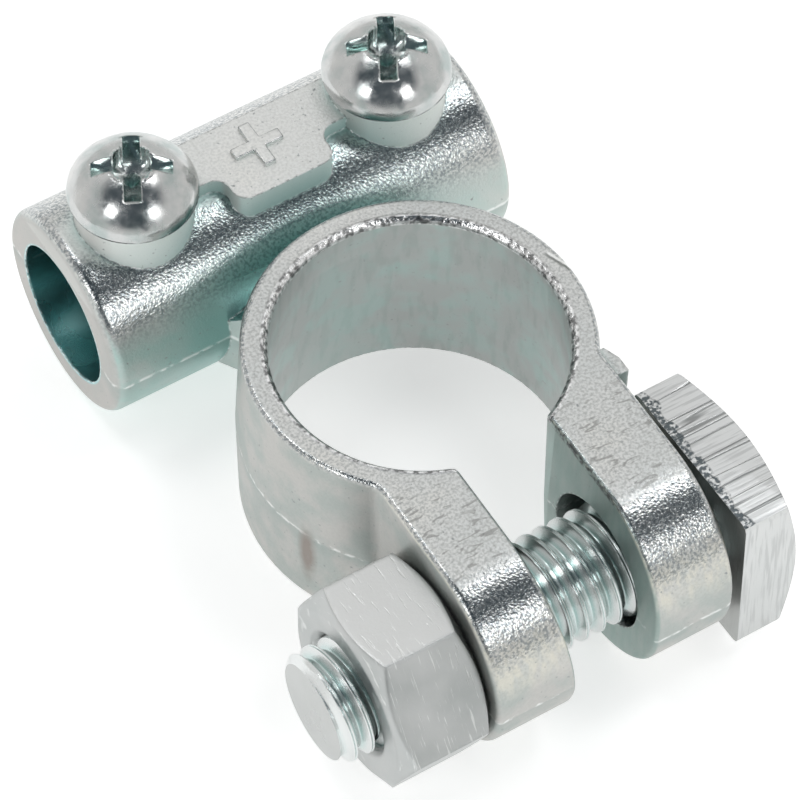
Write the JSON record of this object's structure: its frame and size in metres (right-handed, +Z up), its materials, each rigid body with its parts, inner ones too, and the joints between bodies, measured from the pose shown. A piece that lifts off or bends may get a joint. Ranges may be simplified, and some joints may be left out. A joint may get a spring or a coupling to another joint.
{
  "type": "battery terminal clamp",
  "caption": "Cast battery post clamp with a tapered split ring, square-head clamp bolt and nut, and a cable barrel with screws on bosses.",
  "frame": {"origin": "on the axis of the tapered post bore, in the plane of the ring's bottom face", "axes": "+Z up along the post bore, +X along the clamp bolt and the cable barrel towards the bolt's head, +Y from the ears back to the barrel"},
  "size_m": [0.0328, 0.0502, 0.0202],
  "materials": {
    "cast_zinc": "zinc-plated casting, satin with fine grain",
    "bolt_steel": "bright zinc plate over rolled and sheared steel",
    "nut_steel": "bright zinc plate, satin",
    "screw_steel": "bright zinc plate, glossy"
  },
  "bodies": {
    "casting": {"clamp_body": "cast_zinc"},
    "bolt": {"clamp_bolt": "bolt_steel"},
    "nut": {"clamp_nut": "nut_steel"},
    "screw_left": {"cable_screw_left": "screw_steel"},
    "screw_right": {"cable_screw_right": "screw_steel"}
  },
  "joints": [
    {"name": "nut_turn", "type": "hinge", "parent": "casting", "child": "nut", "pos_m": [-0.01185, -0.01605, 0.00735], "axis": [-1, 0, 0], "range_deg": [-276, 2340]},
    {"name": "bolt_slide", "type": "slide", "parent": "casting", "child": "bolt", "axis": [1, 0, 0], "range_m": [-0.00096, 0.00813]},
    {"name": "screw_left_back_out", "type": "slide", "parent": "casting", "child": "screw_left", "axis": [0, 0, 1], "range_m": [0, 0.0064]},
    {"name": "screw_right_back_out", "type": "slide", "parent": "casting", "child": "screw_right", "axis": [0, 0, 1], "range_m": [0, 0.0064]}
  ],
  "couplings": [
    {"joint": "bolt_slide", "follows": "nut_turn", "m_per_rad": 0.00019894}
  ]
}
